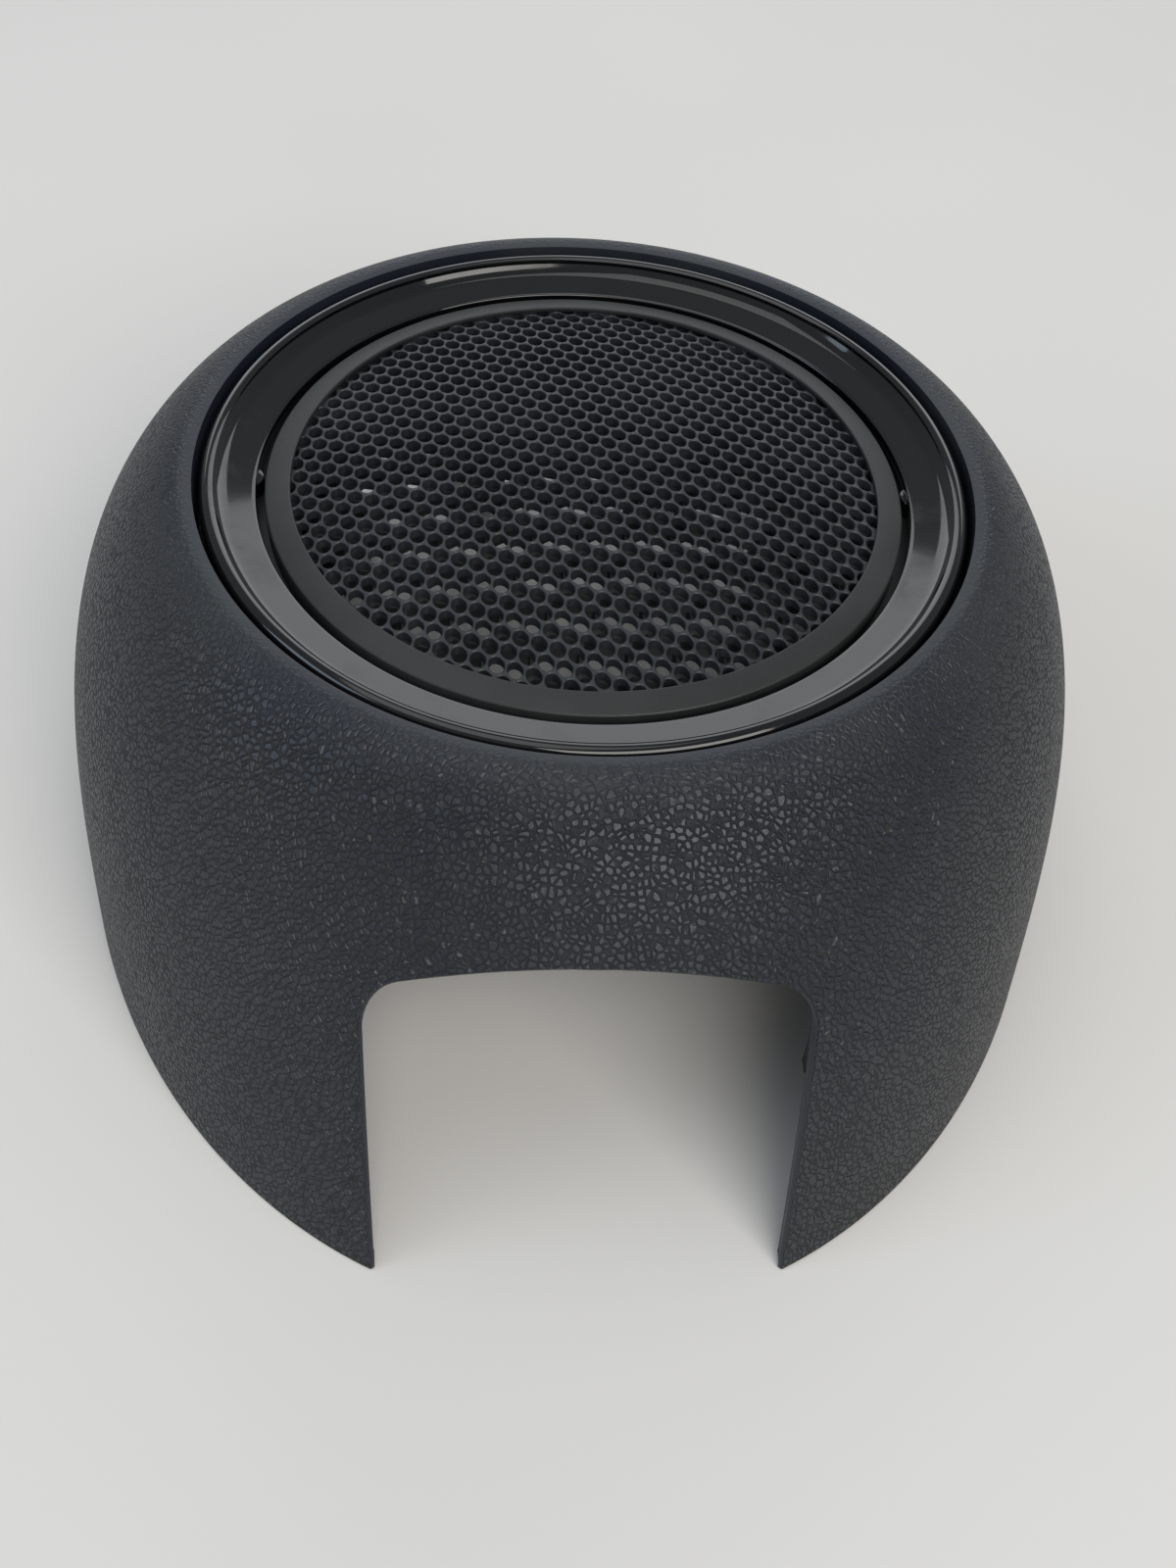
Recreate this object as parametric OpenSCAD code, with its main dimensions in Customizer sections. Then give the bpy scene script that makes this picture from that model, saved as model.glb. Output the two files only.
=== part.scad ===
// Dashboard tweeter housing: a grained moulded shell with a front notch, a gloss trim ring,
// and a domed perforated grille held under a satin bezel.
// The part rests on its rim at z = 0, with the notch facing -Y.

/* [Shell] */
// Half of the shell's width at the rim
side_reach = 66; // [60:0.5:80]
// Reach of the front rim ahead of the ring's axis
front_reach = 85; // [70:0.5:105]
// Reach of the rear rim behind the ring's axis
rear_reach = 64; // [58:0.5:78]
// Height of the shell's lip above the rim
lip_z = 52.9; // [45:0.1:70]
// Wall thickness of the shell
wall = 2.4; // [1.8:0.1:3.5]
// Width of the flat lip around the trim ring
lip_w = 1.5; // [1:0.1:4]

/* [Notch and relief] */
// Width of the front notch at the rim
notch_w = 46.2; // [30:0.2:60]
// How much wider the notch is at its upper corners
notch_flare = 2.4; // [0:0.1:5]
// Height of wall left between the notch and the trim ring's ledge
notch_drop = 4.1; // [2:0.1:20]
// Corner radius at the top of the notch
notch_r = 6.5; // [2:0.5:10]
// Radius of the arch along the top of the notch
notch_arch = 54; // [45:1:200]
// Width of the wiring relief in the rear wall
relief_w = 72; // [30:1:76]
// Height of the wiring relief
relief_z = 24; // [8:0.5:30]
// Corner radius at the top of the relief
relief_r = 5; // [1:0.5:7]
// Radius of the arch along the top of the relief
relief_arch = 300; // [150:10:600]

/* [Trim ring] */
// Gap between the bezel and the trim ring's inner edge
bezel_gap = 1; // [0.5:0.1:2]
// Width of the trim ring
ring_w = 6.55; // [6:0.05:9]
// Gap between the trim ring and its recess
ring_gap = 0.65; // [0.3:0.05:1.2]
// Drop from the ring's crest to its inner edge
ring_drop = 2.7; // [1:0.1:4]
// Number of posts that hold the ring
ring_posts = 6; // [4:1:8]

/* [Grille] */
// Radius of the perforated area inside the bezel
grille_r = 35.7; // [28:0.1:38]
// Width of the bezel
bezel_w = 3.1; // [2.4:0.1:4.5]
// Rise of the grille's dome over the perforated area
dome_rise = 3.4; // [1:0.1:6]
// Thickness of the perforated plate
plate_t = 1.3; // [0.8:0.1:2]
// Hole spacing across the rows
pitch_x = 1.758; // [1.6:0.002:2.4]
// Hole spacing along the rows
pitch_y = 2.606; // [2:0.01:3.4]
// Diameter of one perforation
hole_d = 1.86; // [1:0.02:1.9]
// Turn of the hole rows away from the shell's middle line
row_turn = 16.7; // [0:0.1:30]
// Number of level terraces that make up the dome
terraces = 6; // [4:1:10]
// Depth of the stiffening honeycomb behind the plate
rib_depth = 3.6; // [2:0.1:5]
// Thickness of one honeycomb wall
rib_t = 0.6; // [0.4:0.05:1]
// Number of screws that hold the grille carrier
carrier_screws_n = 6; // [4:1:8]

/* [Mounting] */
// Distance of the side towers outside the ring's recess
side_tower_out = 5; // [5:0.5:8]
// Distance of the rear towers outside the ring's recess
rear_tower_out = 8.3; // [5:0.1:9]
// Direction of the rear towers from the side, in degrees
rear_tower_turn = 49.4; // [40:0.2:60]
// Outer radius of a tower
tower_r = 4.2; // [3.5:0.1:5]
// Outer radius of the hexagonal brass insert, over its corners
insert_r = 2.8; // [2.3:0.1:3.1]
// Thread radius in the insert
thread_r = 1.65; // [1:0.05:2]
// Length of the insert
insert_len = 8; // [5:0.5:12]
// Thickness of the foam washer under each tower
washer_t = 2.5; // [1.5:0.1:4]
// Width of a clip blade
blade_w = 9; // [6:0.5:14]
// Thickness of a clip blade
blade_t = 1.8; // [1.2:0.1:3]
// Distance of the front blades behind the front reach
front_blade_back = 28.9; // [24:0.1:36]
// Distance of the rear blades ahead of the rear rim
rear_blade_ahead = 20; // [16:0.5:26]
// Sideways distance of the rear blades
rear_blade_x = 14; // [8:0.5:24]
// Thickness of the felt tape inside the rim
felt_t = 1; // [0.5:0.1:2]
// Height of the felt tape
felt_h = 9; // [5:0.5:12]
// Length of each felt tape, front to back
felt_len = 61; // [30:1:66]

/* [Hidden] */
$fn = 96;

black_grain = [0.11, 0.12, 0.13];
gloss_black = [0.03, 0.03, 0.035];
satin_black = [0.09, 0.09, 0.095];
steel = [0.6, 0.6, 0.62];
brass = [0.72, 0.56, 0.26];
foam = [0.2, 0.2, 0.2];

// Clearance between metal fittings and the plastic round them
fit_gap = 0.02;
// How far a cut runs past the face it opens
past = 1;

// Radii, from the grille outwards
bezel_r = grille_r + bezel_w;
ring_bore_r = bezel_r + bezel_gap;
ring_r = ring_bore_r + ring_w;
recess_r = ring_r + ring_gap;
lip_r = recess_r + lip_w;
ledge_w = 3.7;
ledge_r = recess_r - ledge_w;

// Stack heights, from the lip down
crest_z = lip_z - 0.5;
bezel_z = lip_z - 2.3;
recess_depth = 6.9;
ledge_z = lip_z - recess_depth;
ledge_t = 3;
ledge_foot = ledge_z - ledge_t;
gasket_t = 0.4;
flange_z = ledge_z + gasket_t;

// ---------- shell form ----------
// The wall rolls over from the lip and runs down to an egg-shaped rim
roll_sharp = 3.1;
roll_soft = 1.4;
flare = 1.3;
rings = 13;
ring_crowd = 1.6;
spokes = 72;
function roll(u) = pow(1 - pow(1 - u, roll_sharp), 1 / roll_soft);
function depth(k) = pow(k / rings, ring_crowd);
function shell_point(u, a, inset, top) =
    let (side = lip_r + (side_reach - lip_r) * roll(u) - inset,
         front = side + (front_reach - side_reach) * pow(u, flare),
         rear = side + (rear_reach - side_reach) * u)
    [side * cos(a), (sin(a) < 0 ? front : rear) * sin(a), (top - inset) * (1 - u)];

// The front ends at the rim beside the notch, and the rear ends just above the relief,
// so the frame is centred between those two
front_most = front_reach * sqrt(1 - pow(notch_w / 2 / side_reach, 2));
rear_most = shell_point(1 - relief_z / lip_z, 90, 0, lip_z)[1];
axis_y = (front_most - rear_most) / 2;

// A closed form of the shell's outline, drawn in by an inset; its foot runs down by extra
module shell_form(inset, extra = 0) {
    levels = concat([for (k = [0:rings]) depth(k)], extra > 0 ? [1] : []);
    n = len(levels);
    points = concat(
        [for (k = [0:n - 1]) for (i = [0:spokes - 1])
            let (p = shell_point(levels[k], 360 * i / spokes, inset, lip_z))
            k == n - 1 && extra > 0 ? [p[0], p[1], -extra] : p],
        [[0, 0, lip_z - inset], [0, 0, -extra]]);
    sides = [for (k = [0:n - 2]) for (i = [0:spokes - 1])
        let (j = (i + 1) % spokes, a = k * spokes, b = (k + 1) * spokes)
        each [[a + i, a + j, b + j], [a + i, b + j, b + i]]];
    top = [for (i = [0:spokes - 1]) [n * spokes, (i + 1) % spokes, i]];
    foot = [for (i = [0:spokes - 1])
        [n * spokes + 1, (n - 1) * spokes + i, (n - 1) * spokes + (i + 1) % spokes]];
    polyhedron(points, concat(sides, top, foot), convexity = 4);
}

module about_axis() { translate([0, axis_y, 0]) children(); }

module ring_of(n, r, start = 0) {
    for (i = [0:n - 1]) rotate(start + 360 * i / n) translate([r, 0, 0]) children();
}

module tube(outer, inner, z, h) {
    translate([0, 0, z]) difference() {
        cylinder(h = h, r = outer);
        translate([0, 0, -past]) cylinder(h = h + 2 * past, r = inner);
    }
}

// ---------- mounting towers ----------
side_tower_r = recess_r + side_tower_out;
rear_tower_r = recess_r + rear_tower_out;
tower_spots = [[side_tower_r, 0], [side_tower_r, 180],
               [rear_tower_r, rear_tower_turn], [rear_tower_r, 180 - rear_tower_turn]];
washer_foot = 0.4;
tower_foot = washer_foot + washer_t;
felt_z = 2;
web_t = 2;
web_foot = felt_z + felt_h + 1;

module at_towers() {
    for (p = tower_spots) rotate(p[1]) translate([p[0], 0, 0]) children();
}

// Each tower has a web that ties it to the wall beside it
module towers() {
    at_towers() {
        translate([0, 0, tower_foot]) cylinder(h = lip_z, r = tower_r);
        translate([0, -web_t / 2, web_foot]) cube([side_reach, web_t, lip_z]);
    }
}

module tower_bores() {
    at_towers() translate([0, 0, tower_foot - past])
        cylinder(h = insert_len + past, r = insert_r, $fn = 6);
}

// ---------- clip blades ----------
blade_z = 6;
clip_z = 16;
notch_to_blade = 9;
front_blade = [notch_w / 2 + notch_to_blade, front_blade_back - front_reach];
rear_blade = [rear_blade_x, rear_reach - rear_blade_ahead];

module at_blades(spot) {
    for (s = [-1, 1]) translate([s * spot[0], spot[1], 0]) children();
}

module blades(spot) {
    at_blades(spot) translate([-blade_w / 2, -blade_t / 2, blade_z])
        cube([blade_w, blade_t, lip_z]);
}

// ---------- shell ----------
notch_z = ledge_foot - notch_drop;
relief_depth = 16.5;

// An opening in an upright wall, cut for reach along -Y. It is w wide at the foot and w + flare
// at its corners, and its top is an arch of radius arch that runs smoothly into the corners
module doorway(w, flare, h, r, arch, reach) {
    corner_x = (w + flare) / 2 - r;
    corner_z = h - arch + sqrt(pow(arch - r, 2) - pow(corner_x, 2));
    arch_x = corner_x * arch / (arch - r);
    rotate([90, 0, 0]) linear_extrude(height = reach) {
        polygon([[-w / 2, -past], [w / 2, -past], [corner_x + r, corner_z], [-corner_x - r, corner_z]]);
        for (s = [-1, 1]) translate([s * corner_x, corner_z]) circle(r = r);
        intersection() {
            translate([0, h - arch]) circle(r = arch);
            translate([-arch_x, 0]) square([2 * arch_x, h + past]);
        }
    }
}

module front_notch() {
    doorway(notch_w, notch_flare, notch_z, notch_r, notch_arch, front_reach + past);
}

module rear_relief() {
    translate([0, rear_reach + past, 0])
        doorway(relief_w, 0, relief_z, relief_r, relief_arch, relief_depth + past);
}

post_r = 1.1;
post_play = 0.2;
skirt_r = ledge_r + 0.5;
post_ring_r = (skirt_r + ring_r) / 2;
post_turn = 30;

module at_posts() { ring_of(ring_posts, post_ring_r, post_turn) children(); }

module housing_shell() {
    color(black_grain) about_axis() difference() {
        shell_form(0);
        difference() {
            shell_form(wall, 5);
            tube(lip_r + lip_w, ledge_r, ledge_foot, lip_z);
            towers();
            blades(front_blade);
            blades(rear_blade);
        }
        translate([0, 0, ledge_z]) cylinder(h = lip_z, r = recess_r);
        translate([0, 0, ledge_foot - past]) cylinder(h = lip_z, r = ledge_r);
        at_posts() translate([0, 0, ledge_foot - past])
            cylinder(h = ledge_t + 2 * past, r = post_r + post_play);
        tower_bores();
        front_notch();
        rear_relief();
    }
}

// ---------- trim ring ----------
crest_r = 1.1;
crest_reach = 105;
pilot_r = 0.8;
screw_ring_r = ring_bore_r + 1.2;
boss_r = 1.9;
skirt_z = ledge_z + 0.9;
inner_edge_z = crest_z - ring_drop;
push_nut_t = 0.6;
post_tail = 1;
post_len = gasket_t + ledge_t + push_nut_t + post_tail;
pilot_depth = 1.6;

module at_screws() { ring_of(carrier_screws_n, screw_ring_r) children(); }

module trim_ring() {
    // A shallow funnel with a rounded crest at its outer edge
    section = concat(
        [[skirt_r, flange_z], [ring_r, flange_z]],
        [for (a = [0:15:crest_reach])
            [ring_r - crest_r + crest_r * cos(a), crest_z - crest_r + crest_r * sin(a)]],
        [[ring_bore_r + 0.3, inner_edge_z + 0.15], [ring_bore_r, inner_edge_z - 0.2],
         [ring_bore_r, inner_edge_z - 1.2], [ring_bore_r + 0.5, inner_edge_z - 1.4],
         [skirt_r, crest_z - 2.6]]);
    color(gloss_black) about_axis() difference() {
        union() {
            rotate_extrude() polygon(section);
            at_screws() translate([0, 0, skirt_z])
                cylinder(h = inner_edge_z - 0.6 - skirt_z, r = boss_r);
            at_posts() translate([0, 0, flange_z - post_len]) cylinder(h = post_len + 1, r = post_r);
        }
        at_screws() translate([0, 0, skirt_z - past])
            cylinder(h = pilot_depth + past, r = pilot_r);
    }
}

module ring_gasket() {
    color(foam) about_axis() difference() {
        tube(recess_r - 0.2, ledge_r + 0.1, ledge_z, gasket_t);
        at_posts() translate([0, 0, ledge_z - past])
            cylinder(h = gasket_t + 2 * past, r = post_r + post_play);
    }
}

module ring_push_nuts() {
    nut_r = 2.4;
    color(steel) about_axis() at_posts()
        tube(nut_r, post_r + fit_gap, ledge_foot - push_nut_t, push_nut_t);
}

// ---------- grille ----------
bezel_wall = 0.8;
plate_edge_r = bezel_r - bezel_wall;
plate_sink = 0.3;

// The dome is cut into level terraces, all with the same rise; the last one is the border
border_drop = 0.5;
terrace_h = (dome_rise + border_drop) / terraces;
function terrace_r(k) = grille_r * sqrt(k / terraces);
border_top = bezel_z - plate_sink - border_drop;

// Everything under the terraced dome that is lowered by sink, down to floor_z
module under_dome(sink, floor_z) {
    for (k = [1:terraces])
        translate([0, 0, floor_z])
            cylinder(h = border_top + (terraces - k) * terrace_h - sink - floor_z,
                     r = k == terraces ? recess_r : terrace_r(k));
}

module hole_field() {
    rows = ceil(grille_r / pitch_x);
    cols = ceil(grille_r / pitch_y) + 1;
    for (i = [-rows:rows]) for (j = [-cols:cols]) {
        x = i * pitch_x;
        y = (j + (i % 2 == 0 ? 0 : 0.5)) * pitch_y;
        if (norm([x, y]) < grille_r - 0.1) translate([x, y]) circle(d = hole_d, $fn = 24);
    }
}

module grille_plate() {
    color(satin_black) about_axis() difference() {
        intersection() {
            under_dome(0, border_top - plate_t - 2);
            translate([0, 0, border_top - plate_t - 1]) linear_extrude(height = 20) difference() {
                circle(r = plate_edge_r);
                rotate(row_turn) hole_field();
            }
        }
        under_dome(plate_t, border_top - plate_t - 3);
    }
}

// Levels at the plate's border, which lies flat between the bezel and its gasket
border_foot = border_top - plate_t;
plate_gasket_t = 0.5;
gasket_foot = border_foot - plate_gasket_t;
carrier_t = 2;
carrier_z = skirt_z - carrier_t;
carrier_gap = 0.3;
rib_gap = 0.12;
screw_hole_r = 1.2;

module grille_bezel() {
    edge_z = bezel_z - 0.6;
    skirt_foot = border_foot - 1.5;
    section = [[grille_r, border_top], [grille_r, bezel_z - 0.15], [grille_r + 0.15, bezel_z],
               [bezel_r - 0.3, edge_z], [bezel_r, edge_z - 0.25], [bezel_r, skirt_foot],
               [plate_edge_r + 0.1, skirt_foot], [plate_edge_r + 0.1, border_top]];
    color(satin_black) about_axis() rotate_extrude() polygon(section);
}

module plate_gasket() {
    color(foam) about_axis()
        tube(plate_edge_r, grille_r + 0.4, gasket_foot, border_foot - gasket_foot);
}

// One honeycomb cell spans seven holes
cell_a = [3 * pitch_x, -0.5 * pitch_y];
cell_b = [-2 * pitch_x, -2 * pitch_y];

// Middle of the circle through the origin, p and q
function circumcentre(p, q) =
    let (d = 2 * (p[0] * q[1] - p[1] * q[0]), pp = p * p, qq = q * q)
    [(q[1] * pp - p[1] * qq) / d, (p[0] * qq - q[0] * pp) / d];

// The cell is the hexagon of points nearer to its middle than to its six neighbours
module cell() {
    near = [cell_a, cell_a + cell_b, cell_b, -cell_a, -cell_a - cell_b, -cell_b];
    corners = [for (k = [0:5]) circumcentre(near[k], near[(k + 1) % 6])];
    shrink = 1 - rib_t / norm(cell_a);
    polygon([for (p = corners) p * shrink]);
}

module honeycomb() {
    reach = grille_r + 0.6;
    span = ceil(reach / norm(cell_a)) + 3;
    difference() {
        circle(r = reach);
        for (i = [-span:span]) for (j = [-span:span]) {
            c = i * cell_a + j * cell_b;
            if (norm(c) < reach + 4) translate(c) cell();
        }
    }
}

module grille_carrier() {
    rim_in = grille_r + 0.2;
    color(satin_black) about_axis() difference() {
        union() {
            difference() {
                intersection() {
                    under_dome(plate_t + rib_gap, carrier_z - past);
                    translate([0, 0, carrier_z]) linear_extrude(height = 20)
                        rotate(row_turn) honeycomb();
                }
                under_dome(plate_t + rib_gap + rib_depth, carrier_z - 2 * past);
            }
            tube(plate_edge_r, rim_in, carrier_z, gasket_foot - carrier_z);
            tube(ledge_r - carrier_gap, rim_in, carrier_z, carrier_t);
        }
        at_screws() translate([0, 0, carrier_z - past])
            cylinder(h = carrier_t + 2 * past, r = screw_hole_r);
    }
}

module carrier_screws() {
    head_t = 1.2;
    slot_w = 0.4;
    slot_len = 2.2;
    slot_depth = 0.6;
    color(steel) about_axis() at_screws() difference() {
        union() {
            translate([0, 0, carrier_z - head_t]) cylinder(h = head_t, r = boss_r);
            translate([0, 0, carrier_z - head_t / 2])
                cylinder(h = head_t / 2 + carrier_t + pilot_depth - 0.1, r = pilot_r - fit_gap);
        }
        for (t = [0, 90]) rotate(t)
            translate([-slot_len / 2, -slot_w / 2, carrier_z - head_t - past])
                cube([slot_len, slot_w, slot_depth + past]);
    }
}

// ---------- mounting hardware ----------
module tower_inserts() {
    color(brass) about_axis() at_towers() translate([0, 0, tower_foot]) difference() {
        cylinder(h = insert_len, r = insert_r - fit_gap, $fn = 6);
        translate([0, 0, -past]) cylinder(h = insert_len + 2 * past, r = thread_r);
    }
}

module tower_washers() {
    color(foam) about_axis() at_towers()
        tube(tower_r + 1.5, insert_r + 0.4, washer_foot, washer_t);
}

// A folded spring clip pushed over a blade
module blade_clip() {
    clip_gap = 0.1;
    clip_t = 0.5;
    clip_w = blade_w - 2;
    clip_foot = blade_z - clip_gap - clip_t;
    outer = blade_t / 2 + clip_gap + clip_t;
    barb = [3.2, 1, 3];
    for (s = [-1, 1]) {
        translate([-clip_w / 2, s > 0 ? outer - clip_t : -outer, clip_foot])
            cube([clip_w, clip_t, clip_z - blade_z]);
        // The sprung barb stands off the clip's face
        translate([-barb[0] / 2, s > 0 ? outer : -outer - barb[1], blade_z + 3]) cube(barb);
    }
    translate([-clip_w / 2, -outer, clip_foot]) cube([clip_w, 2 * outer, clip_t]);
}

module leg_clips() { color(steel) about_axis() at_blades(front_blade) blade_clip(); }
module rear_clips() { color(steel) about_axis() at_blades(rear_blade) blade_clip(); }

// Felt tape on the inside of the wall, above the rim
module rim_felt(side) {
    color(foam) about_axis() intersection() {
        difference() {
            shell_form(wall, 5);
            shell_form(wall + felt_t, 8);
        }
        translate([side > 0 ? 0 : -side_reach, -felt_len / 2, felt_z])
            cube([side_reach, felt_len, felt_h]);
    }
}
module rim_felt_left() { rim_felt(-1); }
module rim_felt_right() { rim_felt(1); }

housing_shell();
trim_ring();
ring_gasket();
ring_push_nuts();
grille_bezel();
grille_plate();
plate_gasket();
grille_carrier();
carrier_screws();
tower_inserts();
tower_washers();
leg_clips();
rear_clips();
rim_felt_left();
rim_felt_right();
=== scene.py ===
import math
import random
import bmesh
import bpy
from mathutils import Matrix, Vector


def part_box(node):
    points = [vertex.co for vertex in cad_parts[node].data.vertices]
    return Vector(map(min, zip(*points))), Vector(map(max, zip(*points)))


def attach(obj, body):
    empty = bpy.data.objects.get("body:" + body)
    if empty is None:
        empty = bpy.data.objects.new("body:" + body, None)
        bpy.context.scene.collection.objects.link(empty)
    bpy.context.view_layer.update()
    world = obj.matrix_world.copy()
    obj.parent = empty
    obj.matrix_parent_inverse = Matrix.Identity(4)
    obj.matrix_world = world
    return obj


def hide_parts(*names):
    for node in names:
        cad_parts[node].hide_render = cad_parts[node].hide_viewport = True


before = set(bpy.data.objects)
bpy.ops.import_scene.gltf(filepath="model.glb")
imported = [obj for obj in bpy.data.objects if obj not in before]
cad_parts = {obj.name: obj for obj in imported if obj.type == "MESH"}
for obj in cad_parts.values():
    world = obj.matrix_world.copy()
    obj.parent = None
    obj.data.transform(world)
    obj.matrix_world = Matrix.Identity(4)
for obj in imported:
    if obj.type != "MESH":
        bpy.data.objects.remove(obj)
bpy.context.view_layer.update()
mm = 0.001
print("frame loaded")


# Places come from the frame, in millimetres; most pieces are made about the grille's axis
def boxOf(node):
    low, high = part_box(node)
    return low / mm, high / mm


shellHigh = boxOf("housing_shell")[1]
ringLow, ringHigh = boxOf("trim_ring")
bezelLow, bezelHigh = boxOf("grille_bezel")
plateHigh = boxOf("grille_plate")[1]
carrierLow, carrierHigh = boxOf("grille_carrier")
axisY = (bezelLow.y + bezelHigh.y) / 2
lipZ = shellHigh.z
bezelZ = bezelHigh.z
bezelR = bezelHigh.x
ringR = ringHigh.x
plateR = plateHigh.x
bossR = bezelR + 2.2
postR = 45.075


# A node tree, and a socket in it that can be used in sums
class Wire:
    def __init__(self, net, socket):
        self.net, self.socket = net, socket

    def sum(self, operation, *terms):
        return self.net.add("ShaderNodeMath", {"operation": operation}, dict(enumerate(terms)))

    def __add__(self, term):
        return self.sum("ADD", self, term)

    def __radd__(self, term):
        return self.sum("ADD", term, self)

    def __sub__(self, term):
        return self.sum("SUBTRACT", self, term)

    def __rsub__(self, term):
        return self.sum("SUBTRACT", term, self)

    def __mul__(self, term):
        return self.sum("MULTIPLY", self, term)

    def __truediv__(self, term):
        return self.sum("DIVIDE", self, term)

    def __gt__(self, term):
        return self.sum("GREATER_THAN", self, term)

    def other(self, name):
        return Wire(self.net, self.socket.node.outputs[name])


class Net:
    def __init__(self, tree):
        self.tree = tree

    def add(self, kind, settings=None, feeds=None, out=0):
        node = self.tree.nodes.new(kind)
        for name, value in (settings or {}).items():
            setattr(node, name, value)
        for key, value in (feeds or {}).items():
            if isinstance(value, Wire):
                self.tree.links.new(value.socket, node.inputs[key])
            else:
                node.inputs[key].default_value = value
        return Wire(self, node.outputs[out])


class Finish(Net):
    def __init__(self, name, **constants):
        self.material = bpy.data.materials.new(name)
        self.material.use_nodes = True
        super().__init__(self.material.node_tree)
        self.shader = self.tree.nodes["Principled BSDF"]
        for key, value in constants.items():
            self.shader.inputs[key.replace("_", " ")].default_value = value
        self.place = self.add("ShaderNodeTexCoord", out="Object")

    def drive(self, key, wire):
        self.tree.links.new(wire.socket, self.shader.inputs[key])

    def cloud(self, size, detail=3.0, place=None, roughness=0.5):
        return self.add("ShaderNodeTexNoise", None, {
            "Vector": place or self.place, "Scale": 1 / (size * mm), "Detail": detail,
            "Roughness": roughness})

    def span(self, wire, low, high):
        return self.add("ShaderNodeMapRange", {"interpolation_type": "SMOOTHSTEP"}, {
            "Value": wire, "From Min": low, "From Max": high})

    def blend(self, factor, first, second):
        return self.add("ShaderNodeMix", {"data_type": "RGBA"}, {0: factor, 6: first, 7: second}, 2)

    def bump(self, height, depth, strength=1.0, under=None):
        feeds = {"Height": height, "Distance": depth * mm, "Strength": strength}
        if under:
            feeds["Normal"] = under
        return self.add("ShaderNodeBump", None, feeds)


def shade(red, green, blue):
    return (red, green, blue, 1.0)


# Leather grain, with painted shade darkening its creases; both fade out where the mesh's "grain" value
# falls to 0
def makeShellGrain():
    # The "deep" colour is painted shade for the grain's creases
    look = {"cell": 0.82, "crease": 0.14, "pebble": 0.24, "driftOver": 1.6, "drift": 0.55,
            "fine": 0.32, "toneOver": 26, "rough": 0.37, "depth": 0.2,
            "deep": shade(0.003, 0.0036, 0.005), "blue": shade(0.0095, 0.0132, 0.0225),
            "grey": shade(0.019, 0.0228, 0.0285), "speck": shade(0.16, 0.16, 0.155)}
    f = Finish("shellGrain", Specular_IOR_Level=0.5)
    outside = f.add("ShaderNodeAttribute", {"attribute_name": "grain"}, out="Fac")
    drift = f.add("ShaderNodeVectorMath", {"operation": "SCALE"},
                  {0: f.cloud(look["driftOver"], 2.0).other("Color"), "Scale": look["drift"] * mm})
    bent = f.add("ShaderNodeVectorMath", {"operation": "ADD"}, {0: f.place, 1: drift})
    cells = f.add("ShaderNodeTexVoronoi", {"feature": "DISTANCE_TO_EDGE"},
                  {"Vector": bent, "Scale": 1 / (look["cell"] * mm), "Randomness": 0.92})
    pebble = f.span(cells, 0.0, look["pebble"])
    crease = 1 - f.span(cells, 0.0, look["crease"])
    fine = f.cloud(look["fine"], 3.0, bent)
    height = pebble + fine * 0.22
    tone = f.span(f.cloud(look["toneOver"], 3.0), 0.36, 0.66)
    base = f.blend(tone, look["blue"], look["grey"])
    # Painted shade: the creases are darkened towards the "deep" colour
    base = f.blend(crease * outside * 0.9, base, look["deep"])
    specks = f.span(f.cloud(0.55, 1.0), 0.76, 0.82)
    dusty = f.span(f.cloud(9, 2.0), 0.52, 0.72)
    base = f.blend(specks * dusty * 0.5, base, look["speck"])
    f.drive("Base Color", base)
    rough = look["rough"] + crease * outside * 0.3 + tone * 0.05 + (1 - outside) * 0.06
    f.drive("Roughness", rough)
    soft = f.bump(f.cloud(0.5, 4.0), 0.03, 0.5)
    f.drive("Normal", f.bump(height * outside, look["depth"], 1.0, soft))
    return f.material


# Mirror black with specks of dust and faint smears
def makeGlossBlack():
    f = Finish("glossBlack", Specular_IOR_Level=0.5, Coat_IOR=1.5)
    dust = f.span(f.cloud(0.22, 1.0), 0.73, 0.8)
    smear = f.span(f.cloud(7, 4.0, roughness=0.62), 0.5, 0.75)
    base = f.blend(smear * 0.5, shade(0.0028, 0.0029, 0.0036), shade(0.0075, 0.0068, 0.006))
    f.drive("Base Color", f.blend(dust * 0.25, base, shade(0.12, 0.12, 0.115)))
    f.drive("Roughness", 0.055 + smear * 0.07 + dust * 0.2)
    f.drive("Coat Weight", 0.35 - smear * 0.2)
    f.drive("Normal", f.bump(f.cloud(12, 2.0), 0.02, 0.25))
    return f.material


def makeSatinBlack(name, base, roughness, grain):
    f = Finish(name, Specular_IOR_Level=0.45)
    fine = f.cloud(0.3, 3.0)
    tone = f.span(f.cloud(14, 3.0), 0.35, 0.68)
    darker, lighter = [shade(*(c * k for c in base)) for k in (0.82, 1.2)]
    dust = f.span(f.cloud(0.28, 1.0), 0.72, 0.8)
    f.drive("Base Color", f.blend(dust * 0.3, f.blend(tone, darker, lighter), shade(0.1, 0.1, 0.1)))
    f.drive("Roughness", roughness + fine * 0.12 + tone * 0.05)
    f.drive("Normal", f.bump(fine, grain, 0.6))
    return f.material


def makeMetal(name, dark, bright, roughness, scratch):
    f = Finish(name, Specular_IOR_Level=0.5)
    f.shader.inputs["Metallic"].default_value = 1.0
    stain = f.span(f.cloud(2.4, 4.0), 0.38, 0.7)
    wear = f.cloud(0.25, 5.0)
    f.drive("Base Color", f.blend(stain, bright, dark))
    f.drive("Roughness", roughness + stain * 0.14 + wear * 0.1)
    f.drive("Normal", f.bump(wear, scratch, 0.4))
    return f.material


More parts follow.
